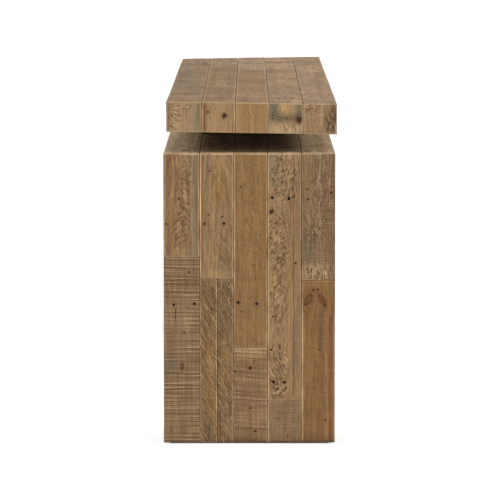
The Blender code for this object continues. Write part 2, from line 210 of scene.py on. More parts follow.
def makeBoard(node, facing, look, mitres=(0, 0, 0, 0), skew=(0, 0, 0, 0), origin=(0, 0), finish=None):
    # mitres: how far the hidden face stands inside this one, at along-low, along-high, across-low
    # and across-high
    # skew: how far the ends are cut back, low end at across-low and across-high, then the high end
    # origin: what the look's along and across distances are measured from
    look = {**plainLook, **look}
    low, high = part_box(node)
    alongAxis, acrossAxis, outAxis, sign = axesOf[facing]
    level = high[outAxis] if sign > 0 else low[outAxis]
    thickness = high[outAxis] - low[outAxis]
    aEnds = [low[alongAxis] - min(0, mitres[0]), high[alongAxis] + min(0, mitres[1])]
    bEnds = [low[acrossAxis] - min(0, mitres[2]), high[acrossAxis] + min(0, mitres[3])]
    width = bEnds[1] - bEnds[0]
    length = aEnds[1] - aEnds[0]
    seed = sum(ord(letter) * (i + 3) for i, letter in enumerate(node)) % 9973
    aOrigin, bOrigin = origin

    # rows and columns of points, closer near nails, cracks, joints and seams
    small = [(n[1] * mm + aOrigin, n[0] * mm + bOrigin, n[2] * mm) for n in look["nails"]]
    fine = max(0.9, 0.42 * look["step"][0]) * mm
    aPlaces = [(p[0] - aEnds[0], 1.5 * p[2], fine) for p in small]
    bPlaces = [(p[1] - bEnds[0], 1.5 * p[2], fine) for p in small]
    aPlaces += [(j * mm + aOrigin - aEnds[0], 1.2 * mm, 0.6 * mm) for j in look["joints"]]
    bPlaces += [(s * mm + bOrigin - bEnds[0], 1.2 * mm, 0.6 * mm) for s in look["seams"]]
    bPlaces += [(c[0] * mm + bOrigin - bEnds[0], 2.4 * mm, 0.6 * mm) for c in look["cracks"]]
    aSteps = pointsAlong(length, look["step"][0] * mm, aPlaces)
    bSteps = pointsAlong(width, look["step"][1] * mm, bPlaces)
    s, t = np.meshgrid(aSteps / length, bSteps / width)

    def endLines(share):
        # where the board starts and stops along, at each share of its width
        start = aEnds[0] + skew[0] * (1 - share) + skew[1] * share
        stop = aEnds[1] + skew[2] * (1 - share) + skew[3] * share
        return start, stop

    start, stop = endLines(t)
    a = start + s * (stop - start)
    b = bEnds[0] + t * width
    fromSides = (a - start, stop - a, b - bEnds[0], bEnds[1] - b)

    # the wood's own frame, which bends round each knot
    la, lb = a - aOrigin, b - bOrigin
    grainB = lb.copy()
    ringPull = np.zeros_like(a)
    ringKnot = np.zeros_like(a)
    knot = np.zeros_like(a)
    halo = np.zeros_like(a)
    for across, along, radius, stretch, lean in look["knots"]:
        r = radius * mm
        wobble = 0.14 * smoothNoise(la / (0.7 * r), lb / (0.7 * r), seed + 40)
        dx, dz, turn = lb - across * mm, la - along * mm, math.radians(lean)
        away = np.hypot(
            (dx * math.cos(turn) + dz * math.sin(turn)) / r,
            (dz * math.cos(turn) - dx * math.sin(turn)) / (stretch * r),
        ) + wobble
        grainB -= dx * 0.75 * np.exp(-((away / 1.9) ** 2))
        core = ramp(away, 1.12, 0.85) * (1 - 0.65 * ramp(away, 0.95, 0.6) * (stretch > 1.8))
        knot = np.maximum(knot, core)
        halo = np.maximum(halo, np.exp(-((away / 1.7) ** 2)) * 0.8)
        ringPull = np.maximum(ringPull, ramp(away, 1.35, 0.95))
        ringKnot = np.where(away < 1.5, away * radius / 1.6, ringKnot)

    # each length or strip of wood has its own rings and shade
    piece = np.zeros_like(a)
    groove = np.zeros_like(a)
    for joint in look["joints"]:
        wander = 0.0 if look["seams"] else 0.15 * mm * smoothNoise(lb / (9 * mm), 0 * lb, seed)
        piece += la > joint * mm + wander
        groove = np.maximum(groove, ramp(np.abs(la - joint * mm - wander), 0.95 * mm, 0.1 * mm))
    for seam in look["seams"]:
        piece += 7 * (lb > seam * mm)
        groove = np.maximum(groove, ramp(np.abs(lb - seam * mm), 0.95 * mm, 0.1 * mm))
    shade = 1 + 0.10 * smoothNoise(piece * 3.1 + 0.5, piece * 0 + 0.5, seed + 11) * (piece > 0)

    pithAcross, pithDeep, drift = look["pith"]
    waver = look["waver"] * mm * blotches(la, grainB, 150 * mm, 30 * mm, seed + 20)
    middle = (aEnds[0] + aEnds[1]) / 2 - aOrigin
    y = grainB - pithAcross * mm + waver + piece * 9 * mm
    z = pithDeep * mm + drift * (la - middle) + 0.8 * waver
    ring = np.hypot(y, z) / (look["ring"] * mm)
    ring = ring * (1 - ringPull) + ringKnot * ringPull
    grain = np.stack([la + piece * 0.31 + seed * 0.013, grainB + piece * 0.17, 0 * a], -1)

    # saw marks: positive in a groove, negative on a ridge
    saw = np.zeros_like(a)
    sawDepth = np.zeros_like(a)
    for i, (angle, pitch, strokeLength, depth, strength) in enumerate(look["saws"]):
        marks = sawMarks(la + piece * 0.05, lb, angle, pitch, strokeLength, strength, seed + 50 + 9 * i)
        saw += marks
        sawDepth += depth * mm * marks
    for i, hatch in enumerate(look["hatches"]):
        marks = hatchMarks(la, lb, hatch, seed + 80 + 9 * i)
        saw += marks
        sawDepth += 0.28 * mm * marks

    # holes and cracks
    pit = np.zeros_like(a)
    pitDepth = np.zeros_like(a)
    rust = np.zeros_like(a)
    for across, along, radius in look["nails"]:
        away = np.hypot(lb - across * mm, la - along * mm) / (radius * mm)
        pit = np.maximum(pit, ramp(away, 1.3, 0.85))
        pitDepth = np.maximum(pitDepth, 2.2 * mm * ramp(away, 1.3, 0.7))
        rust = np.maximum(rust, np.exp(-((away / 2.4) ** 2)))
    for across, lowEnd, highEnd, crackWidth in look["cracks"]:
        path = across * mm + 1.2 * mm * smoothNoise(la / (13 * mm), 0 * la, seed + 90)
        taper = ramp(la, lowEnd * mm, (lowEnd + 12) * mm) * ramp(la, highEnd * mm, (highEnd - 12) * mm)
        opening = ramp(np.abs(lb - path) / (crackWidth * mm), 1.0, 0.3) * taper
        pit = np.maximum(pit, 0.85 * opening)
        pitDepth = np.maximum(pitDepth, 1.0 * mm * opening)

    # colour of the wood, before the material adds its grain
    tint = np.ones((*a.shape, 3)) * np.array(linearColour(look["tint"]))
    drifting = 0.11 * blotches(la, grainB, 110 * mm, 18 * mm, seed + 30)
    drifting += 0.08 * blotches(la, grainB, 420 * mm, 10 * mm, seed + 31)
    bands = np.tanh(2.2 * blotches(la, lb, 75 * mm, 110 * mm, seed + 35))
    bands = bands + 0.6 * blotches(la, lb, 160 * mm, 30 * mm, seed + 36)
    bands = look["bands"] * (bands + 0.7 * blotches(la, lb, 500 * mm, 9 * mm, seed + 38))
    tint *= ((1 + drifting + bands) * shade)[..., None]
    for i, (stain, across, halfWidth, lowEnd, highEnd, strength) in enumerate(look["stains"]):
        path = across * mm + 0.45 * halfWidth * mm * blotches(la, 0 * la, 70 * mm, 1, seed + 100 + i)
        body = np.exp(-(((grainB - path) / (halfWidth * mm)) ** 2))
        ends = ramp(la, (lowEnd - 8) * mm, (lowEnd + 14) * mm)
        ends = ends * ramp(la, (highEnd + 8) * mm, (highEnd - 14) * mm)
        ragged = 0.75 + 0.45 * blotches(la, grainB, 40 * mm, 3.5 * mm, seed + 120 + i)
        share = np.clip(strength * body * ends * ragged, 0, 1)[..., None]
        tint = tint * (1 - share) + np.array(linearColour(stain)) * share
    # seam dirt and painted shade: the face darkens within a millimetre of each of its edges
    nearest = np.minimum.reduce(fromSides)
    uneven = 0.75 + 0.35 * blotches(la, lb, 30 * mm, 30 * mm, seed + 37)
    dirtAndShade = look["dirtAndShade"] * ramp(nearest, 1.0 * mm, 0.3 * mm) * uneven
    dark = np.clip(0.30 * rust + 0.5 * halo + 0.75 * groove, 0, 0.9)[..., None]
    tint = tint * (1 - dark) + np.array(linearColour(rustBrown)) * dark
    # painted contact shade: the end that stands on the floor darkens over its lowest 26 mm, most in its
    # lowest 9 mm
    uneven = 0.8 + 0.4 * blotches(la, lb, 12 * mm, 30 * mm, seed + 39)
    nearFloorShade = ramp(a, 9 * mm, 4.5 * mm) + 0.35 * ramp(a, 26 * mm, 5 * mm) * uneven
    dirtAndShade = np.maximum(np.maximum(dirtAndShade, 0.8 * groove), look["footShade"] * nearFloorShade)
    dirtAndShade = np.clip(dirtAndShade, 0, 0.95)[..., None]
    tint = tint * (1 - dirtAndShade) + np.array(linearColour(dirtAndShadeBrown)) * dirtAndShade

    # arris: rounded over, here and there chipped, and rubbed pale, with a painted highlight along it
    names = ("alongLow", "alongHigh", "acrossLow", "acrossHigh")
    drop = np.zeros_like(a)
    wearAndHighlight = np.zeros_like(a)
    for i, side in enumerate(names):
        run = lb if i < 2 else la
        ease = look["ease"] * mm * (1 + 0.45 * blotches(run, 0 * run, 26 * mm, 1, seed + 60 + i))
        inward = np.clip(1 - fromSides[i] / ease, 0, 1)
        drop += ease * (1 - np.sqrt(1 - np.minimum(inward, 0.98) ** 2))
        pale = look["wornAndLit"].get(side, 0.25)
        rubbedAndLit = 0.6 + 0.6 * blotches(run, 0 * run, 35 * mm, 1, seed + 70 + i)
        rubbedAndLit = pale * rubbedAndLit * ramp(fromSides[i], 2.9 * mm, 1.4 * mm) * ramp(nearest, 0.3 * mm, 0.9 * mm)
        wearAndHighlight = np.maximum(wearAndHighlight, rubbedAndLit)

    # the face rolls a little, as planed old wood does
    bow = look["cup"] * mm * ((2 * t - 1) ** 2 - 0.4)
    rolling = 0.22 * mm * blotches(la, lb, 90 * mm, 32 * mm, seed + 33)
    sunk = look["sunk"] * mm + bow + rolling + sawDepth + pitDepth + 0.9 * mm * groove + drop
    sunk += 0.12 * mm * np.clip(halo - knot, 0, 1)

    # seams are never quite straight: the long sides stand back by up to half a millimetre
    back = 0.25 * mm * (1 + blotches(la, 0 * la, 60 * mm, 1, seed + 65))
    b = b + back * np.exp(-fromSides[2] / (4 * mm)) - back * np.exp(-fromSides[3] / (4 * mm))
    for i, seamSeed in enumerate(look["wander"]):
        held = ramp(np.minimum(a - cadLow[alongAxis], cadHigh[alongAxis] - a), 0, 90 * mm)
        stray = 0.9 * mm * blotches(a, 0 * a, 210 * mm, 1, seamSeed) * held
        b = b + (seamSeed > 0) * stray * np.exp(-fromSides[2 + i] / (14 * mm))

    # rim of the face, then two rings below it, then a fan that closes the back
    rows, columns = a.shape
    index = np.arange(rows * columns).reshape(rows, columns)
    rim = np.concatenate([index[0, :-1], index[:-1, -1], index[-1, :0:-1], index[:0:-1, 0]])
    count = len(rim)
    points = np.zeros((rows * columns + 2 * count + 1, 3))
    points[: rows * columns, alongAxis] = a.ravel()
    points[: rows * columns, acrossAxis] = b.ravel()
    points[: rows * columns, outAxis] = level - sign * sunk.ravel()
    rimS, rimT = s.ravel()[rim], t.ravel()[rim]
    for loop, depth in ((0, arrisDepth), (1, thickness)):
        share = depth / thickness
        bLow, bHigh = bEnds[0] + share * mitres[2], bEnds[1] - share * mitres[3]
        ringB = bLow + rimT * (bHigh - bLow)
        startLine, stopLine = endLines((ringB - bEnds[0]) / width)
        startLine = startLine + share * mitres[0]
        stopLine = stopLine - share * mitres[1]
        where = slice(rows * columns + loop * count, rows * columns + (loop + 1) * count)
        points[where, alongAxis] = startLine + rimS * (stopLine - startLine)
        points[where, acrossAxis] = ringB
        points[where, outAxis] = level - sign * depth
    points[-1] = points[rows * columns + count : -1].mean(0)
    if node.startswith("slab_"):
        # the old wood has pulled the slab a little out of flat towards its ends
        ends = points[:, 0] / cadHigh.x
        points[:, 2] -= slabTwist * ends**3 * (points[:, 1] - slabMiddle) / (slabHigh.y - slabMiddle)

    quads = np.stack([index[:-1, :-1], index[:-1, 1:], index[1:, 1:], index[1:, :-1]], -1).reshape(-1, 4)
    levels = [rim, rows * columns + np.arange(count), rows * columns + count + np.arange(count)]
    for upper, lower in zip(levels, levels[1:]):
        wall = np.stack([upper, lower, np.roll(lower, -1), np.roll(upper, -1)], -1)
        quads = np.concatenate([quads, wall])
    fan = np.stack([np.roll(levels[2], -1), levels[2], np.full(count, len(points) - 1)], -1)
    order = [alongAxis, acrossAxis, outAxis]
    handed = sign * (1 if order in ([0, 1, 2], [1, 2, 0], [2, 0, 1]) else -1)
    if handed < 0:
        quads = quads[:, ::-1]
        fan = fan[:, ::-1]

    mesh = bpy.data.meshes.new(node + "_pine")
    mesh.vertices.add(len(points))
    mesh.vertices.foreach_set("co", points.astype(np.float32).ravel())
    corners = np.concatenate([quads.ravel(), fan.ravel()]).astype(np.int32)
    mesh.loops.add(len(corners))
    mesh.loops.foreach_set("vertex_index", corners)
    starts = np.concatenate([np.arange(len(quads)) * 4, len(quads) * 4 + np.arange(count) * 3])
    mesh.polygons.add(len(starts))
    mesh.polygons.foreach_set("loop_start", starts.astype(np.int32))
    mesh.update(calc_edges=True)
    mesh.shade_smooth()
    mesh.set_sharp_from_angle(angle=math.radians(50))

    def store(name, values, kind="FLOAT"):
        # the rings and the back repeat what is on the rim
        flat = values.reshape(rows * columns, -1)
        full = np.concatenate([flat, flat[rim], flat[rim], flat[:1]])
        if name == "grain":
            depths = np.repeat([0, arrisDepth, thickness, thickness], [rows * columns, count, count, 1])
            full = full.copy()
            full[:, 2] = depths
        field = "value" if kind == "FLOAT" else "vector"
        if kind == "FLOAT_COLOR":
            field = "color"
            full = np.concatenate([full, np.full((len(full), 1), look["figure"])], 1)
        mesh.attributes.new(name, kind, "POINT").data.foreach_set(field, full.astype(np.float32).ravel())

    store("grain", grain, "FLOAT_VECTOR")
    store("tint", tint, "FLOAT_COLOR")
    store("ring", ring)
    store("saw", saw)
    store("knot", knot)
    store("pit", pit)
    store("wearAndHighlight", wearAndHighlight)

    board = bpy.data.objects.new(node + "_pine", mesh)
    bpy.context.scene.collection.objects.link(board)
    mesh.materials.append(finish)
    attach(board, "root")
    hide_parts(node)
    for hole in small:
        spot = [0, 0, 0]
        spot[alongAxis], spot[acrossAxis] = hole[0], hole[1]
        spot[outAxis] = level - sign * 1.5 * mm
        nailSpots.append((spot, hole[2], outAxis, sign))
    return board


def rowMitres(row, low=0, high=0):
    # rows 1 and 5 are mitred to the long sides too
    return (low, high, boardThickness if row == 1 else 0, boardThickness if row == 5 else 0)


nailSpots = []


# materials

def newMaterial(name):
    material = bpy.data.materials.new(name)
    material.use_nodes = True
    return material, material.node_tree, material.node_tree.nodes["Principled BSDF"]


def pineMaterial(name, fibre=0.25, rings=0.38, greying=0.16, sawTone=0.58, rough=0.66, sheen=0.12,
                 fleckTone=0.6, bumpy=True):
    # Reclaimed pine, sawn long ago, sanded lightly and waxed matt. Dark late-wood lines, fine
    # fibres, grey weathering in patches, dirt in the saw marks, and pale wood with a painted highlight on
    # the arrises.
    material, tree, shader = newMaterial(name)
    read = {
        part: addNode(tree, "ShaderNodeAttribute", attribute_name=part)
        for part in ("grain", "tint", "ring", "saw", "knot", "pit", "wearAndHighlight")
    }
    grain = read["grain"].outputs["Vector"]

    def noiseOf(lengthMm, widthMm, detail=2.0):
        scaled = addNode(
            tree,
            "ShaderNodeVectorMath",
            {0: grain, 1: (1000 / lengthMm, 1000 / widthMm, 1000 / widthMm)},
            operation="MULTIPLY",
        )
        inputs = {"Vector": scaled.outputs[0], "Scale": 1.0, "Detail": detail}
        return addNode(tree, "ShaderNodeTexNoise", inputs).outputs["Fac"]

    def spread(value, low, high, fromLow=0.3, fromHigh=0.7):
        inputs = {"Value": value, "From Min": fromLow, "From Max": fromHigh, "To Min": low, "To Max": high}
        return addNode(tree, "ShaderNodeMapRange", inputs).outputs["Result"]

    def maths(operation, first, second=0.0):
        return addNode(tree, "ShaderNodeMath", {0: first, 1: second}, operation=operation).outputs[0]

    def dim(colour, amount):
        node = addNode(tree, "ShaderNodeVectorMath", {0: colour, "Scale": amount}, operation="SCALE")
        return node.outputs[0]

    def stained(colour, hexColour, share):
        inputs = {0: share, 6: colour, 7: (*linearColour(hexColour), 1)}
        return addNode(tree, "ShaderNodeMix", inputs, data_type="RGBA").outputs[2]

    fineFibre = noiseOf(34, 2.6, 3.0)  # single fibres are finer: drawn 2.6 mm wide so that they show
    broadFibre = noiseOf(110, 6.0, 3.0)
    patches = noiseOf(60, 24, 3.0)
    flecks = noiseOf(7, 2.4, 1.0)

    # late wood: darkens slowly across a ring and then stops short
    wandering = maths("ADD", read["ring"].outputs["Fac"], spread(broadFibre, -0.45, 0.45))
    inRing = maths("FRACT", wandering)
    late = addNode(tree, "ShaderNodeValToRGB", {"Fac": inRing})
    late.color_ramp.elements[0].color = (0, 0, 0, 1)
    late.color_ramp.elements[1].color = (0, 0, 0, 1)
    for place, value in ((0.45, 0.12), (0.82, 1.0), (0.93, 0.3)):
        stop = late.color_ramp.elements.new(place)
        stop.color = (value, value, value, 1)
    lateWood = maths("MULTIPLY", late.outputs["Color"], read["tint"].outputs["Alpha"])

    colour = read["tint"].outputs["Color"]
    colour = dim(colour, spread(fineFibre, 1 - fibre, 1 + fibre, 0.34, 0.66))
    colour = dim(colour, spread(broadFibre, 1 - fibre, 1 + fibre, 0.3, 0.7))
    colour = stained(colour, "#553519", maths("MULTIPLY", lateWood, rings))
    colour = stained(colour, "#70664f", spread(patches, 0.0, greying, 0.5, 0.72))
    colour = stained(colour, "#3f2a18", spread(flecks, 0.0, fleckTone, 0.6, 0.72))
    sawShade = maths("MULTIPLY", read["saw"].outputs["Fac"], spread(fineFibre, 0.55, 1.25))
    colour = stained(colour, "#37240f", maths("MULTIPLY", sawShade, sawTone))
    colour = stained(colour, "#d3b48a", maths("MULTIPLY", sawShade, -0.75 * sawTone))
    knotShare = maths("MULTIPLY", read["knot"].outputs["Fac"], spread(fineFibre, 0.75, 1.0))
    colour = stained(colour, "#2f1507", knotShare)
    # pale arris: wear and a painted highlight
    wearAndHighlightShare = maths("MULTIPLY", read["wearAndHighlight"].outputs["Fac"], spread(broadFibre, 0.55, 1.0))
    colour = stained(colour, "#d9bd95", wearAndHighlightShare)
    colour = stained(colour, "#0c0704", read["pit"].outputs["Fac"])
    tree.links.new(colour, shader.inputs["Base Color"])

    wax = maths("ADD", spread(fineFibre, rough - 0.05, rough + 0.07), spread(patches, -0.03, 0.08))
    wax = maths("ADD", wax, maths("MULTIPLY", read["pit"].outputs["Fac"], 0.2))
    tree.links.new(wax, shader.inputs["Roughness"])
    shader.inputs["IOR"].default_value = 1.45
    shader.inputs["Specular IOR Level"].default_value = sheen

    if bumpy:
        relief = maths("ADD", maths("MULTIPLY", fineFibre, 0.6), maths("MULTIPLY", lateWood, 0.25))
        relief = maths("SUBTRACT", relief, maths("MULTIPLY", sawShade, 0.35))
        relief = maths("SUBTRACT", relief, maths("MULTIPLY", flecks, 0.3))
        bump = addNode(tree, "ShaderNodeBump", {"Strength": 0.7, "Distance": 0.0008, "Height": relief})
        tree.links.new(bump.outputs["Normal"], shader.inputs["Normal"])
    return material


topPine = pineMaterial("sawnTopPine", fibre=0.13, rings=0.32, greying=0.2, sawTone=0.55, rough=0.76,
                       fleckTone=0.3)
blockPine = pineMaterial("uprightBlockPine", fibre=0.11, rings=0.24, greying=0.10)
stavePine = pineMaterial("waxedStavePine", fibre=0.16, rings=0.42, fleckTone=0.55)
deckPine = pineMaterial("shadedDeckPine", fibre=0.2, rings=0.25, greying=0.3, sawTone=0.5, rough=0.72,
                        bumpy=False)
sidePine = pineMaterial("longSidePine", fibre=0.22)
panelPine = pineMaterial("planedPanelPine", fibre=0.18, rings=0.40, greying=0.15, sawTone=0.20, rough=0.62)
print("pine materials made")


# the near leg: eleven staves, each with its own history (mm from the leg's middle, mm above the floor)

staveLooks = {
    "1_upper": {
        "tint": "#7b6144", "ring": 7, "pith": (-196, 30, 0.04), "waver": 7, "figure": 1.3,
        "stains": (
            ("#603e33", -189, 3.5, 439, 690, 0.8), ("#876738", -181, 3, 439, 690, 0.6),
            ("#644434", -173, 2.5, 439, 690, 0.6), ("#8c6f48", -166, 3, 470, 690, 0.45),
            ("#62614d", -124, 5, 439, 690, 0.85), ("#7d775f", -133, 3, 439, 690, 0.6),
            ("#9b7e59", -156, 20, 432, 462, 0.6), ("#967954", -150, 16, 640, 684, 0.4),
        ),
        "hatches": (
            (-150, 570, 16, 75, 48, 4.6, 9, 1.0), (-164, 500, 18, 60, -42, 4.6, 9, 0.9),
            (-146, 640, 16, 40, -55, 4.6, 8, 0.8), (-178, 600, 14, 90, -75, 5.0, 20, 0.5),
        ),
        "saws": ((70, 6.0, 35, 0.08, 0.35),),
        "nails": ((-164, 576, 2.0), (-194, 517, 1.8)),
        "wornAndLit": {"alongHigh": 1.0, "alongLow": 0.3, "acrossLow": 0.4, "acrossHigh": 0.6},
    },
    "1_lower": {
        "tint": "#745c42", "ring": 7, "pith": (-150, 70, 0.02), "figure": 0.6,
        "saws": ((0.5, 9.5, 120, 0.26, 1.5), (-0.5, 5.6, 60, 0.14, 0.9)),
        "stains": (
            ("#4b483f", -186, 17, 165, 214, 0.8), ("#4e3222", -157, 3.5, 166, 196, 0.8),
            ("#664b35", -192, 7, 20, 430, 0.4), ("#8f7656", -138, 24, 210, 330, 0.3),
            ("#8c7355", -150, 34, 405, 432, 0.4), ("#5f4733", -150, 34, 3, 60, 0.35),
            ("#5d4735", -160, 30, 362, 392, 0.3),
        ),
        "knots": ((-156, 184, 3.0, 2.2, 0),),
        "nails": ((-176, 327, 2.6), (-128, 330, 2.7), (-152, 262, 1.7), (-144, 321, 1.2), (-140, 404, 2.0)),
        "cracks": ((-172, 282, 326, 1.2),),
        "wornAndLit": {"alongHigh": 0.3, "acrossLow": 0.2, "acrossHigh": 0.2},
    },
    "2_upper": {
        "tint": "#826849", "ring": 10, "pith": (-60, 22, 0.08), "waver": 8, "figure": 1.2,
        "stains": (
            ("#6a4128", -109, 2.2, 388, 690, 0.8), ("#695645", -99, 5, 388, 690, 0.6),
            ("#886736", -66, 16, 560, 665, 0.55), ("#6f573e", -44, 5, 388, 690, 0.4),
            ("#93744e", -84, 5, 388, 690, 0.5), ("#967b57", -78, 30, 388, 410, 0.5),
        ),
        "saws": ((62, 6.5, 30, 0.10, 0.45),),
        "hatches": ((-62, 455, 18, 50, 60, 5.5, 20, 0.6), (-80, 620, 14, 50, -60, 5.5, 20, 0.5)),
        "nails": ((-104, 517, 2.5), (-59, 518, 2.9), (-92, 640, 1.6), (-94, 538, 1.7), (-63, 534, 1.9)),
        "wornAndLit": {"alongHigh": 1.0, "acrossLow": 1.1, "acrossHigh": 0.6},
    },
    "2_lower_front": {
        "tint": "#71583a", "ring": 8, "pith": (-96, 18, 0.05), "figure": 0.7,
        "saws": ((61, 5.2, 30, 0.24, 1.7),),
        "hatches": ((-90, 200, 34, 300, 60, 4.6, 8, 0.4),),
        "stains": (
            ("#764b37", -112, 2.5, 200, 388, 0.6), ("#5a442c", -104, 5, 180, 388, 0.5),
            ("#8d683b", -88, 10, 60, 250, 0.4), ("#4f4233", -94, 14, 3, 50, 0.6),
            ("#503d2a", -90, 7, 270, 370, 0.6),
        ),
        "nails": ((-88, 318, 1.6),),
        "wornAndLit": {"acrossLow": 0.45, "acrossHigh": 0.8},
        "sunk": 0.25,
    },
    "2_lower_back": {
        "tint": "#71593d", "ring": 7, "pith": (-40, 20, -0.06), "figure": 0.8,
        "saws": ((63, 5.2, 30, 0.24, 1.7),),
        "hatches": ((-54, 230, 34, 300, 64, 4.6, 8, 0.5),),
        "stains": (
            ("#604f37", -50, 9, 250, 388, 0.6), ("#4d3b27", -70, 5, 3, 388, 0.7),
            ("#8e6b3d", -58, 6, 90, 250, 0.45), ("#714630", -70, 4, 3, 75, 0.5),
            ("#4b3c27", -48, 7, 60, 150, 0.5),
        ),
        "wornAndLit": {"acrossLow": 0.1, "acrossHigh": 0.5},
        "sunk": 0.45,
    },
    "3_upper": {
        "tint": "#785a38", "ring": 11, "pith": (60, 90, 0.02), "waver": 2, "figure": 0.5,
        "saws": ((18, 5.6, 22, 0.08, 0.45),),
        "stains": (
            ("#7a613f", -20, 14, 560, 690, 0.35), ("#60462d", 0, 60, 380, 396, 0.4),
            ("#664e36", 0, 60, 226, 248, 0.6), ("#604732", -31, 3, 226, 640, 0.4),
            ("#664b2f", -10, 26, 300, 330, 0.3),
        ),
        "hatches": ((5, 500, 30, 60, 55, 5.5, 16, 0.35), (-8, 590, 24, 40, -60, 5.0, 14, 0.3)),
        "nails": ((-26, 333, 2.9), (17, 330, 3.1), (-20, 603, 1.4), (-18, 312, 1.5), (10, 420, 1.2)),
        "wornAndLit": {"alongHigh": 1.0, "acrossLow": 0.6, "acrossHigh": 0.7},
    },
    "3_lower": {
        "tint": "#755b3f", "ring": 7, "pith": (-60, 60, 0.03), "figure": 0.6,
        "saws": ((5, 5.4, 45, 0.22, 1.3), (3, 11, 80, 0.15, 0.8)),
        "stains": (("#997e5a", 0, 60, 198, 226, 0.75), ("#5f4630", -33, 5, 3, 226, 0.35)),
        "knots": ((2, 179, 3.8, 1.0, 0),),
        "nails": ((-33, 171, 1.7), (3, 84, 1.7), (14, 29, 2.1), (12, 195, 1.2), (3, 180, 1.5)),
        "wornAndLit": {"alongHigh": 0.7, "acrossLow": 0.3, "acrossHigh": 0.3},
    },
    "4_upper": {
        "tint": "#82684a", "ring": 6, "pith": (66, 12, 0.13), "waver": 9, "figure": 1.0,
        "saws": ((-55, 5.0, 14, 0.10, 0.5),),
        "hatches": (
            (66, 470, 30, 70, -48, 4.6, 7, 1.3), (60, 535, 24, 26, 35, 4.6, 7, 1.0),
            (66, 175, 26, 70, 50, 4.6, 7, 1.3), (74, 128, 22, 24, -45, 5.0, 7, 1.3),
            (70, 340, 26, 90, -62, 4.6, 8, 1.0), (80, 620, 36, 70, -62, 4.6, 7, 1.2),
        ),
        "stains": (
            ("#6d6550", 58, 16, 600, 690, 0.6), ("#8e7148", 94, 8, 101, 470, 0.5),
            ("#634730", 106, 3, 101, 320, 0.5), ("#715a43", 113, 6, 101, 690, 0.45),
            ("#987c56", 52, 7, 240, 470, 0.5), ("#453320", 62, 20, 519, 526, 0.7),
            ("#5a5435", 102, 3, 380, 500, 0.5),
        ),
        "knots": ((52, 546, 5.0, 1.1, 0),),
        "cracks": ((103, 105, 690, 0.7),),
        "nails": (
            (53, 578, 3.2), (92, 576, 3.3), (53, 644, 1.5), (76, 615, 1.8), (55, 300, 1.7), (63, 300, 1.5),
            (108, 425, 2.0), (51, 222, 2.0), (56, 146, 3.0), (82, 145, 3.0), (58, 340, 1.2), (80, 520, 1.5),
        ),
        "wornAndLit": {"alongHigh": 1.0, "acrossLow": 0.9, "acrossHigh": 0.3},
    },
    "4_lower": {
        "tint": "#745c42", "ring": 10, "pith": (160, 90, 0.02), "figure": 0.5,
        "saws": ((1, 5.0, 35, 0.10, 0.8),),
        "stains": (("#68553e", 118, 6, 3, 101, 0.4), ("#604c36", 80, 40, 3, 25, 0.3)),
        "nails": ((90, 18, 1.4), (66, 60, 1.0)),
        "wornAndLit": {"alongHigh": 0.3, "acrossLow": 1.0, "acrossHigh": 0.4},
    },
    "5_upper": {
        "tint": "#745d45", "ring": 6, "pith": (214, 18, 0.08), "waver": 9, "figure": 1.2,
        "saws": ((3, 6.0, 16, 0.10, 0.7), (80, 6.0, 22, 0.12, 0.7)),
        "hatches": (
            (150, 505, 28, 45, 60, 4.6, 7, 1.0), (165, 405, 36, 20, 88, 5.0, 9, 1.3),
            (170, 600, 28, 80, -78, 4.6, 9, 0.9),
        ),
        "stains": (
            ("#565242", 136, 14, 425, 505, 0.75), ("#a08964", 150, 40, 390, 424, 0.8),
            ("#5c4839", 188, 10, 400, 690, 0.5), ("#816440", 134, 10, 560, 690, 0.4),
            ("#a18965", 163, 2.2, 480, 690, 0.75), ("#453b2e", 198, 3, 400, 690, 0.8),
            ("#6b4731", 180, 3, 540, 640, 0.5), ("#605d4c", 172, 3, 560, 690, 0.5),
        ),
        "nails": ((135, 598, 1.7), (136, 574, 1.8), (190, 590, 2.1)),
        "wornAndLit": {"alongHigh": 0.5, "acrossLow": 0.2, "acrossHigh": 0.2, "alongLow": 0.4},
    },
    "5_lower": {
        "tint": "#725232", "ring": 6, "pith": (156, 30, 0.05), "waver": 4, "figure": 0.8,
        "saws": ((2, 5.0, 30, 0.08, 0.35),),
        "stains": (
            ("#5f3b27", 189, 3.5, 3, 330, 0.7), ("#8c6640", 181, 3, 3, 330, 0.7),
            ("#51493c", 171, 2.5, 3, 330, 0.6), ("#9a7d50", 125, 2.5, 3, 330, 0.8),
            ("#4d311e", 150, 30, 60, 85, 0.35), ("#7e5b34", 145, 16, 150, 300, 0.4),
            ("#4d331f", 164, 4, 215, 320, 0.5), ("#4b3c2a", 150, 40, 3, 30, 0.35),
            ("#8a6a42", 155, 36, 366, 384, 0.5),
        ),
        "knots": ((138, 340, 7.5, 2.2, -30), (170, 338, 6.0, 2.6, 30)),
        "cracks": ((177, 316, 334, 1.0),),
        "nails": ((159, 363, 1.9), (178, 56, 1.8), (149, 362, 1.9), (163, 222, 1.4)),
        "wornAndLit": {"alongHigh": 0.35, "acrossLow": 1.0, "acrossHigh": 0.4},
    },
}

for name, look in staveLooks.items():
    row = int(name[0])
    mitres = rowMitres(row, high=boardThickness if name.endswith("upper") else 0)
    # the staves darken towards the floor: painted contact shade
    look = {"step": (1.15, 1.25), "footShade": 0.8, **look}
    makeBoard(f"right_leg_stave_{name}", "right", look, mitres, origin=(0, baseMiddle), finish=stavePine)
print("near leg staves made")


# the near end of the slab: five blocks (mm from the slab's middle, mm above the floor)

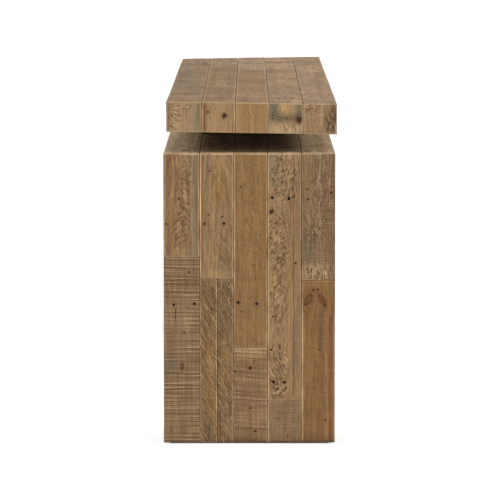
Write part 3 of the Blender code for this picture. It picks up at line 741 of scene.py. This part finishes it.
blockLooks = {
    "1": {
        "tint": "#887054", "ring": 8, "pith": (-220, 50, 0.02),
        "stains": (
            ("#533721", -193, 4, 728, 802, 0.85), ("#535645", -125, 3.0, 728, 802, 0.95),
            ("#766f5a", -132, 2.2, 728, 802, 0.6), ("#927054", -165, 14, 735, 800, 0.35),
            ("#413a2e", -117, 3.0, 728, 802, 0.8), ("#5a3d27", -186, 10, 796, 802, 0.5),
        ),
        "hatches": ((-163, 788, 28, 11, -20, 5.5, 10, 1.1), (-178, 765, 16, 32, 35, 5, 9, 1.0)),
        "nails": ((-186, 742, 1.3),),
    },
    "2": {
        "tint": "#876d4d", "ring": 9, "pith": (-76, 30, 0.06), "waver": 3,
        "stains": (
            ("#5d3722", -108, 4, 728, 802, 0.85), ("#947653", -85, 12, 728, 802, 0.4),
            ("#654a31", -43, 5, 728, 802, 0.6), ("#967a59", -57, 3, 728, 802, 0.4),
        ),
        "knots": ((-63, 768, 5.5, 1.25, -12), (-101, 776, 2.4, 1.3, 0)),
    },
    "3": {
        "tint": "#836643", "ring": 12, "pith": (0, 60, 0.02), "figure": 0.6,
        "stains": (
            ("#8f7758", -31, 4, 728, 802, 0.6), ("#91795a", 34, 4, 728, 802, 0.6),
            ("#705333", -16, 8, 728, 802, 0.4), ("#745738", 14, 6, 755, 790, 0.4),
        ),
    },
    "4": {
        "tint": "#857056", "ring": 8, "pith": (60, 60, 0.1),
        "stains": (
            ("#44453c", 50, 13, 758, 816, 1.0), ("#4a4936", 109, 9, 758, 816, 0.95),
            ("#403a36", 66, 26, 748, 780, 0.95), ("#a88550", 80, 13, 768, 800, 0.9),
            ("#3e2718", 106, 12, 748, 776, 0.8), ("#9d845e", 80, 45, 722, 757, 0.9),
        ),
        "knots": ((112, 761, 7.5, 0.9, 30),),
        "hatches": ((90, 741, 28, 9, 88, 6, 12, 1.1), (70, 765, 26, 6, 5, 6, 18, 0.8)),
    },
    "5": {
        "tint": "#7e664a", "ring": 7, "pith": (170, 40, 0.05), "figure": 1.3, "waver": 6,
        "stains": (
            ("#543f2c", 186, 15, 728, 802, 0.95), ("#382c21", 197, 3.5, 728, 802, 0.75),
            ("#72573b", 135, 8, 785, 802, 0.5), ("#967f5f", 162, 1.6, 728, 802, 0.9),
        ),
        "hatches": ((184, 765, 18, 44, 80, 4.6, 9, 1.3), (140, 790, 24, 14, -25, 5, 9, 1.1)),
        "saws": ((1, 5.5, 25, 0.1, 0.5),),
    },
}

for name, look in blockLooks.items():
    look = {
        "step": (1.0, 1.1), "ease": 1.2, "dirtAndShade": 0.5,
        "wornAndLit": {"alongHigh": 0.55, "acrossLow": 0.5, "acrossHigh": 0.5, "alongLow": 0.3}, **look,
    }
    mitres = rowMitres(int(name), high=boardThickness)
    makeBoard(f"slab_right_block_{name}", "right", look, mitres, origin=(0, slabMiddle), finish=blockPine)
print("near end blocks made")


# boards seen less closely: a look drawn from a few habits of old pine

stainHexes = ("#7a5a3c", "#6d5a49", "#7b745c", "#9a7442", "#a98a66", "#79513a", "#6f5646")


def agedLook(seed, tint, low, high, half, sawChance=0.8, nailPairs=2):
    # low to high is the board's run in mm, and half is half its width
    rng = np.random.default_rng(seed)
    run = high - low
    saws = []
    if rng.random() < sawChance:
        saws.append((
            rng.uniform(-6, 6), rng.uniform(6, 10), 60, rng.uniform(0.12, 0.25), rng.uniform(0.5, 1.0),
        ))
    else:
        saws.append((rng.choice([-50, 50]), rng.uniform(6, 7), 28, 0.2, rng.uniform(0.6, 1.0)))
    stains = []
    for _ in range(int(3 + run / 350)):
        begin = rng.uniform(low, high)
        stains.append((
            str(rng.choice(stainHexes)), rng.uniform(-half, half), rng.uniform(2.5, 9),
            begin, begin + rng.uniform(0.2, 0.6) * run, rng.uniform(0.3, 0.6),
        ))
    knots = []
    for _ in range(rng.poisson(run / 700)):
        knots.append((
            rng.uniform(-0.7, 0.7) * half, rng.uniform(low + 30, high - 30), rng.uniform(4, 8), 1.3, 0,
        ))
    nails = []
    nailLines = [side * half * rng.uniform(0.35, 0.6) for side in (-1, 1)]
    for i in range(nailPairs):
        place = low + run * (i + rng.uniform(0.25, 0.75)) / max(1, nailPairs)
        for line in nailLines:
            nails.append((line, place + rng.uniform(-3, 3), rng.uniform(1.7, 2.7)))
    cracks = []
    if rng.random() < 0.4:
        begin = rng.uniform(low, high - 0.3 * run)
        cracks.append((rng.uniform(-0.6, 0.6) * half, begin, begin + rng.uniform(60, 160), 0.8))
    return {
        "tint": tint, "ring": rng.uniform(5, 9),
        "pith": (rng.uniform(-60, 60), rng.uniform(15, 80), rng.uniform(-0.05, 0.05)),
        "waver": rng.uniform(3, 6), "saws": tuple(saws), "stains": tuple(stains), "knots": tuple(knots),
        "nails": tuple(nails), "cracks": tuple(cracks), "sunk": rng.uniform(0, 0.4),
    }


def middleOf(node, axis):
    low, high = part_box(node)
    return (low[axis] + high[axis]) / 2


# the top: band-sawn across, patched with darker strokes where the old boards met others
topTints = ("#78644d", "#7c654b", "#81674c", "#846d54", "#887159")
topFarTints = ("#897759", "#806c56", "#8e7860", "#91775f", "#9b8166")
topStains = {
    "1": (
        ("#46392d", 0, 26, 630, 676, 0.75), ("#4e4235", -25, 14, 92, 138, 0.75),
        ("#6a624d", -25, 16, 150, 330, 0.5), ("#736a4f", 6, 5, -420, 60, 0.5),
        ("#696148", -12, 6, -420, 60, 0.4), ("#594636", 20, 22, -700, -680, 0.5),
    ),
    "2": (
        ("#514333", -12, 22, 392, 438, 0.75), ("#69503a", 0, 40, 440, 620, 0.35),
        ("#89764d", 0, 40, 130, 210, 0.35), ("#6a563a", -20, 4, -400, 100, 0.45),
        ("#705e40", 4, 4, -400, 100, 0.45), ("#544432", 20, 5, -300, 100, 0.4),
        ("#4d3d2c", 0, 45, -505, -460, 0.65),
    ),
    "3": (
        ("#725932", 0, 40, 60, 330, 0.35), ("#5e4932", 0, 40, 330, 352, 0.4),
        ("#84705b", -12, 12, 500, 700, 0.3), ("#523d2b", 0, 45, -345, -300, 0.7),
        ("#65503a", 6, 24, -560, -500, 0.4),
    ),
    "4": (
        ("#4d3f30", 18, 16, 604, 650, 0.85), ("#483627", 0, 45, -345, -295, 0.75),
        ("#443523", 0, 40, -766, -720, 0.85), ("#99815a", 0, 40, -730, -420, 0.4),
        ("#78634a", -20, 6, -300, 600, 0.35),
    ),
    "5": (
        ("#6c5946", 0, 40, 728, 772, 0.4), ("#544030", -38, 3, -990, 990, 0.6),
        ("#79624c", 0, 40, -440, -425, 0.35),
    ),
}
for node in sorted(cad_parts):
    if not node.startswith("slab_board_"):
        continue
    row = int(node[11])
    low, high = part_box(node)
    far = node.endswith("left")
    look = agedLook(100 + row + 10 * far, (topFarTints if far else topTints)[row - 1],
                    low.x / mm, high.x / mm, (high.y - low.y) / 2 / mm, sawChance=1.0, nailPairs=3)
    look["saws"] = ((0.5 * row, 11, 80, 0.2, 1.3), (-1, 6.5, 40, 0.10, 0.9))
    look["wander"] = (row - 1, row % 5)
    look["stains"] = look["stains"][:3] + topStains[str(row)]
    look["wornAndLit"] = {"alongHigh": 0.6, "alongLow": 0.5, "acrossLow": 0.3, "acrossHigh": 0.3}
    look["step"] = (2.6, 3.0)
    look["bands"] = 0.2 if far else 0.16
    look["dirtAndShade"] = 0.6
    look["sunk"] = (0.2, 0.4, 0.0, 0.5, 0.1)[row - 1] + (0.0 if far else 0.3)
    mitres = rowMitres(
        row,
        low=boardThickness if low.x < cadLow.x + 1 * mm else 0,
        high=boardThickness if high.x > cadHigh.x - 1 * mm else 0,
    )
    makeBoard(node, "up", look, mitres, origin=(0, middleOf(node, 1)), finish=topPine)
print("top boards made")

farBlockTints = ("#9a7c58", "#a08565", "#8f7a5c", "#a27f50", "#9b7d5a")
for row in range(1, 6):
    node = f"slab_left_block_{row}"
    low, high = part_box(node)
    look = agedLook(200 + row, farBlockTints[row - 1], low.z / mm, high.z / mm, 38, nailPairs=0)
    look["step"] = (1.6, 2.0)
    look["wornAndLit"] = {"alongHigh": 0.8, "acrossLow": 0.5, "acrossHigh": 0.4, "alongLow": 0.4}
    mitres = rowMitres(row, high=boardThickness)
    makeBoard(node, "left", look, mitres, origin=(0, middleOf(node, 1)), finish=blockPine)

# painted light: the deck boards are tinted paler than the other boards, standing in for the light that
# reaches the margins of the gap under the slab
deckLitTints = ("#ae9476", "#ab8f6f", "#ab8f6f", "#b39877", "#bfa382")
for row in range(1, 6):
    node = f"deck_board_{row}"
    look = agedLook(300 + row, deckLitTints[row - 1], -1000, 1000, 38, nailPairs=4)
    look["step"] = (4.0, 5.0)
    look["wornAndLit"] = {"alongHigh": 1.0, "alongLow": 0.8, "acrossLow": 0.3, "acrossHigh": 0.3}
    mitres = rowMitres(row, low=boardThickness, high=boardThickness)
    makeBoard(node, "up", look, mitres, origin=(0, middleOf(node, 1)), finish=deckPine)

farStaveTints = ("#8d7050", "#866a4c", "#91744f", "#8a6e52", "#836349")
farStaveJoints = ((290,), (455,), (170, 520), (380,), (240,))
for row in range(1, 6):
    node = f"left_leg_stave_{row}"
    look = agedLook(400 + row, farStaveTints[row - 1], 3, 684, 38, sawChance=0.6, nailPairs=3)
    look["joints"] = farStaveJoints[row - 1]
    look["step"] = (2.4, 3.0)
    look["wornAndLit"] = {"alongHigh": 1.0, "acrossLow": 0.4, "acrossHigh": 0.4}
    mitres = rowMitres(row, high=boardThickness)
    makeBoard(node, "left", look, mitres, origin=(0, middleOf(node, 1)), finish=stavePine)
print("far leg made")

# long sides: each node is jointed from lengths of wood, as the rows on top are
sideJoints = {"slab_front_board": (-310, 420), "slab_back_board": (-480, 250),
              "deck_front_board": (130,), "deck_back_board": (-200, 560)}
for i, (node, joints) in enumerate(sideJoints.items()):
    slab = node.startswith("slab")
    look = agedLook(500 + i, ("#8f7254", "#8b6e50", "#8a6d4d", "#8d7153")[i], -1000, 1000, 34, nailPairs=5)
    look["joints"] = joints
    look["step"] = (2.8, 3.0)
    look["wornAndLit"] = {"acrossHigh": 0.7, "acrossLow": 0.5, "alongLow": 0.4, "alongHigh": 0.4}
    if slab:
        mitres, skew = (boardThickness, boardThickness, 0, boardThickness), (0, 0, 0, 0)
    else:
        mitres, skew = (0, 0, 0, boardThickness), (boxThickness, 0, -boxThickness, 0)
    makeBoard(node, "front" if "front" in node else "back", look, mitres, skew,
              origin=(0, middleOf(node, 2)), finish=sidePine)

edgeTints = {"right_leg_front_edge": "#8c6f51", "right_leg_back_edge": "#876a4c",
             "left_leg_front_edge": "#8a6d4d", "left_leg_back_edge": "#8f7254"}
for i, (node, tint) in enumerate(edgeTints.items()):
    right = node.startswith("right")
    look = agedLook(600 + i, tint, 3, 684, 34, nailPairs=2)
    look["joints"] = ((330,), (), (), (410,))[i]
    look["step"] = (2.6, 3.0)
    look["wornAndLit"] = {"acrossHigh": 0.5, "acrossLow": 0.5, "alongHigh": 0.3}
    mitres = (0, 0, 0, boardThickness) if right else (0, 0, boardThickness, 0)
    skew = (0, 0, -boxThickness, 0) if right else (0, 0, 0, -boxThickness)
    makeBoard(node, "frontUpright" if "front" in node else "backUpright", look, mitres, skew,
              origin=(0, middleOf(node, 0)), finish=sidePine)
print("long sides made")

# hidden faces: panels glued up from strips
stripSeams = (-110, -36, 38, 112)
for i, node in enumerate(("right_leg_inner_panel", "left_leg_inner_panel")):
    look = agedLook(700 + i, "#876a4b", 3, 614, 170, nailPairs=0)
    look["seams"] = stripSeams
    look["step"] = (5.0, 5.5)
    makeBoard(node, "left" if i == 0 else "right", look, (0, -panelThickness, 0, 0),
              origin=(0, middleOf(node, 1)), finish=panelPine)
# painted shade: the slab's underside is tinted darker than the deck's underside, so the gap under the slab
# stays dark
for i, node in enumerate(("slab_bottom_panel", "deck_bottom_panel")):
    look = agedLook(720 + i, ("#59452f", "#866a4d")[i], -900, 900, 170, nailPairs=0)
    look["seams"] = stripSeams
    look["joints"] = (-350, 420)
    look["step"] = (8.0, 6.0)
    concave = -panelThickness if node.startswith("deck") else 0
    makeBoard(node, "down", look, (concave, concave, 0, 0), origin=(0, middleOf(node, 1)), finish=panelPine)
print("panels made")


# plinth, cores, bolts and floor strips keep their CAD shape

def plainPine(name, hexColour, grainAxis, greying, rough=None):
    # New softwood seen on inner faces: soft streaks along the grain, no marks
    material, tree, shader = newMaterial(name)
    place = addNode(tree, "ShaderNodeTexCoord").outputs["Object"]
    stretch = [1000 / 3.0] * 3
    stretch[grainAxis] = 1000 / 90
    scaled = addNode(tree, "ShaderNodeVectorMath", {0: place, 1: tuple(stretch)}, operation="MULTIPLY")
    streaks = addNode(tree, "ShaderNodeTexNoise", {"Vector": scaled.outputs[0], "Scale": 1.0, "Detail": 4.0})
    mixed = addNode(tree, "ShaderNodeMix", {
        0: streaks.outputs["Fac"],
        6: (*[v * (1 - greying) for v in linearColour(hexColour)], 1),
        7: (*[min(1, v * (1 + greying)) for v in linearColour(hexColour)], 1),
    }, data_type="RGBA")
    tree.links.new(mixed.outputs[2], shader.inputs["Base Color"])
    if rough:
        # inside the boxes, where nothing shows: an even roughness and no bump
        shader.inputs["Roughness"].default_value = rough
        return material
    dull = {"Value": streaks.outputs["Fac"], "To Min": 0.6, "To Max": 0.85}
    tree.links.new(addNode(tree, "ShaderNodeMapRange", dull).outputs["Result"], shader.inputs["Roughness"])
    relief = {"Strength": 0.4, "Distance": 0.0004, "Height": streaks.outputs["Fac"]}
    tree.links.new(addNode(tree, "ShaderNodeBump", relief).outputs["Normal"], shader.inputs["Normal"])
    return material


def speckled(name, darkHex, paleHex, **noiseInputs):
    # a colour mottled between two tones by fine noise, which is returned too
    material, tree, shader = newMaterial(name)
    place = addNode(tree, "ShaderNodeTexCoord").outputs["Object"]
    noise = addNode(tree, "ShaderNodeTexNoise", {"Vector": place, **noiseInputs}).outputs["Fac"]
    tones = {0: noise, 6: (*linearColour(darkHex), 1), 7: (*linearColour(paleHex), 1)}
    tone = addNode(tree, "ShaderNodeMix", tones, data_type="RGBA")
    tree.links.new(tone.outputs[2], shader.inputs["Base Color"])
    return material, tree, shader, noise


def steelMaterial():
    # Zinc-plated steel, dull and a little uneven
    material, tree, shader, spots = speckled(
        "zincPlatedSteel", "#7c8084", "#a9acae", Scale=400.0, Detail=3.0,
    )
    shader.inputs["Metallic"].default_value = 1.0
    rough = addNode(tree, "ShaderNodeMapRange", {"Value": spots, "To Min": 0.3, "To Max": 0.5})
    tree.links.new(rough.outputs["Result"], shader.inputs["Roughness"])
    return material


def feltMaterial():
    # Dense wool felt: matt, dark, with tangled fibres
    material, tree, shader, fibres = speckled(
        "brownWoolFelt", "#2a241e", "#544a3f", Scale=900.0, Detail=4.0, Distortion=1.5,
    )
    shader.inputs["Roughness"].default_value = 0.95
    bump = addNode(tree, "ShaderNodeBump", {"Strength": 0.8, "Distance": 0.0005, "Height": fibres})
    tree.links.new(bump.outputs["Normal"], shader.inputs["Normal"])
    return material


def rustMaterial():
    # Iron rusted dark inside its hole
    material, _, shader, _ = speckled("rustedNailIron", "#0b0705", "#24150d", Scale=900.0, Detail=4.0)
    shader.inputs["Roughness"].default_value = 0.9
    shader.inputs["Specular IOR Level"].default_value = 0.1
    return material


corePine = plainPine("newSoftwoodCore", "#b08d5c", 0, 0.25, rough=0.7)
legCorePine = plainPine("newSoftwoodLegCore", "#b08d5c", 2, 0.25, rough=0.7)
# painted shade: the spacer plinth is coloured near black, so that it vanishes into the shade of the gap
# between deck and slab
paintedShadePine = plainPine("paintedShadePlinthPine", "#1d1712", 0, 0.35)
steel = steelMaterial()
felt = feltMaterial()
carried = {
    "slab_core_frame": corePine, "deck_core_frame": corePine, "right_leg_core_frame": legCorePine,
    "left_leg_core_frame": legCorePine, "spacer_plinth": paintedShadePine, "plinth_bolt_right": steel,
    "plinth_bolt_left": steel, "right_leg_foot_strip": felt, "left_leg_foot_strip": felt,
}
for node, material in carried.items():
    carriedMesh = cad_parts[node].data
    carriedMesh.materials.clear()
    carriedMesh.materials.append(material)
print("carried-over pieces given their finishes")


# broken-off nails in their holes, by geometry nodes: one short stub at each hole

def nailTree():
    tree = bpy.data.node_groups.new("brokenNails", "GeometryNodeTree")
    tree.interface.new_socket("Geometry", in_out="INPUT", socket_type="NodeSocketGeometry")
    for name, kind, value in (
        ("Stub Length", "NodeSocketFloat", 1.2 * mm), ("Sides", "NodeSocketInt", 10),
        ("Lean", "NodeSocketFloat", 0.25), ("Seed", "NodeSocketInt", 4),
        ("Iron", "NodeSocketMaterial", None),
    ):
        socket = tree.interface.new_socket(name, in_out="INPUT", socket_type=kind)
        if value is not None:
            socket.default_value = value
    tree.interface.new_socket("Geometry", in_out="OUTPUT", socket_type="NodeSocketGeometry")
    start = addNode(tree, "NodeGroupInput").outputs
    stub = addNode(tree, "GeometryNodeMeshCylinder", {
        "Vertices": start["Sides"], "Radius": 1.0, "Depth": start["Stub Length"],
    })
    radius = addNode(tree, "GeometryNodeInputNamedAttribute", {"Name": "nailRadius"}, data_type="FLOAT")
    out = addNode(tree, "GeometryNodeInputNamedAttribute", {"Name": "outward"}, data_type="FLOAT_VECTOR")
    turn = addNode(tree, "FunctionNodeAlignRotationToVector", {"Vector": out.outputs["Attribute"]}, axis="Z")
    leanDown = addNode(tree, "ShaderNodeMath", {0: start["Lean"], 1: -1.0}, operation="MULTIPLY")
    leaning = addNode(tree, "FunctionNodeRandomValue", {
        "Min": leanDown.outputs[0], "Max": start["Lean"], "Seed": start["Seed"],
    }, data_type="FLOAT_VECTOR")
    tilted = addNode(tree, "FunctionNodeRotateRotation", {
        "Rotation": turn.outputs["Rotation"], "Rotate By": leaning.outputs["Value"],
    }, rotation_space="LOCAL")
    size = addNode(tree, "ShaderNodeCombineXYZ", {
        "X": radius.outputs["Attribute"], "Y": radius.outputs["Attribute"], "Z": 1.0,
    })
    placed = addNode(tree, "GeometryNodeInstanceOnPoints", {
        "Points": start["Geometry"], "Instance": stub.outputs["Mesh"],
        "Rotation": tilted.outputs["Rotation"], "Scale": size.outputs["Vector"],
    })
    real = addNode(tree, "GeometryNodeRealizeInstances", {"Geometry": placed.outputs["Instances"]})
    finished = addNode(tree, "GeometryNodeSetMaterial", {
        "Geometry": real.outputs["Geometry"], "Material": start["Iron"],
    })
    addNode(tree, "NodeGroupOutput", {"Geometry": finished.outputs["Geometry"]})
    return tree


def makeNails():
    mesh = bpy.data.meshes.new("nailSpots")
    mesh.from_pydata([spot for spot, _, _, _ in nailSpots], [], [])
    outward = np.zeros((len(nailSpots), 3), np.float32)
    for i, (_, _, axis, sign) in enumerate(nailSpots):
        outward[i, axis] = sign
    radii = np.array([radius * 0.8 for _, radius, _, _ in nailSpots], np.float32)
    mesh.attributes.new("outward", "FLOAT_VECTOR", "POINT").data.foreach_set("vector", outward.ravel())
    mesh.attributes.new("nailRadius", "FLOAT", "POINT").data.foreach_set("value", radii)
    spots = bpy.data.objects.new("nailSpots", mesh)
    bpy.context.scene.collection.objects.link(spots)
    modifier = spots.modifiers.new("stubs", "NODES")
    modifier.node_group = nailTree()
    settings = {"Stub Length": 1.2 * mm, "Sides": 10, "Lean": 0.25, "Seed": 4, "Iron": rustMaterial()}
    for item in modifier.node_group.interface.items_tree:
        if item.in_out == "INPUT" and item.name in settings:
            modifier[item.identifier] = settings[item.name]
    bpy.context.view_layer.update()
    graph = bpy.context.evaluated_depsgraph_get()
    plain = bpy.data.meshes.new_from_object(spots.evaluated_get(graph))
    bpy.data.objects.remove(spots)
    nails = bpy.data.objects.new("broken_nails", plain)
    bpy.context.scene.collection.objects.link(nails)
    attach(nails, "root")


makeNails()
print("nails made:", len(nailSpots))


# floor, light and camera

def plainMaterial(name, hexColour, roughness, glow):
    material, _, shader = newMaterial(name)
    shader.inputs["Base Color"].default_value = (*linearColour(hexColour), 1)
    shader.inputs["Roughness"].default_value = roughness
    shader.inputs["Specular IOR Level"].default_value = 0.1
    shader.inputs["Emission Color"].default_value = (1, 1, 1, 1)
    shader.inputs["Emission Strength"].default_value = glow
    return material


studio = {
    "floorHalf": 60.0, "floorGlow": 0.52, "roomLight": 0.86,
    # azimuth from +X towards +Y, elevation, strength, width
    "leftBank": (-75, 34, 1.7, 18), "rightBank": (75, 28, 2.1, 18),
    "frontBank": (4, 15, 0.6, 40), "topBank": (20, 68, 0.15, 50),
}
half = studio["floorHalf"]
floorMesh = bpy.data.meshes.new("studioFloor")
floorCorners = [(-half, -half, 0), (half, -half, 0), (half, half, 0), (-half, half, 0)]
floorMesh.from_pydata(floorCorners, [], [(0, 1, 2, 3)])
floor = bpy.data.objects.new("studio_floor", floorMesh)
floor.location.z = cadLow.z - 0.2 * mm
bpy.context.scene.collection.objects.link(floor)
floorMesh.materials.append(plainMaterial("backlitPaleAcrylic", "#b4b4b4", 0.9, studio["floorGlow"]))

world = bpy.data.worlds.new("paleRoom")
world.use_nodes = True
world.node_tree.nodes["Background"].inputs["Color"].default_value = (1, 1, 1, 1)
world.node_tree.nodes["Background"].inputs["Strength"].default_value = studio["roomLight"]
bpy.context.scene.world = world
bpy.context.scene.view_settings.view_transform = "Standard"


def softLight(name, azimuth, elevation, strength, spread):
    # a wide sun, so that the floor is lit evenly out to its far edge
    light = bpy.data.lights.new(name, "SUN")
    light.energy = strength
    light.angle = math.radians(spread)
    lamp = bpy.data.objects.new(name, light)
    turn, rise = math.radians(azimuth), math.radians(elevation)
    towards = Vector((math.cos(turn) * math.cos(rise), math.sin(turn) * math.cos(rise), math.sin(rise)))
    lamp.rotation_euler = towards.to_track_quat("Z", "Y").to_euler()
    bpy.context.scene.collection.objects.link(lamp)


for bank in ("leftBank", "rightBank", "frontBank", "topBank"):
    softLight(bank, *studio[bank])

cameraSpot = {
    "distance": 7.822, "height": 1.310, "aside": -0.0021, "dip": 6.230, "turn": 0.016, "lens": 243.6,
}
cameraData = bpy.data.cameras.new("camera")
cameraData.sensor_width = 36.0
cameraData.lens = cameraSpot["lens"]
cameraData.clip_end = 300.0
camera = bpy.data.objects.new("camera", cameraData)
camera.location = (cadHigh.x + cameraSpot["distance"], cameraSpot["aside"], cameraSpot["height"])
camera.rotation_euler = (math.radians(90 - cameraSpot["dip"]), 0, math.radians(90 - cameraSpot["turn"]))
bpy.context.scene.collection.objects.link(camera)
bpy.context.scene.camera = camera
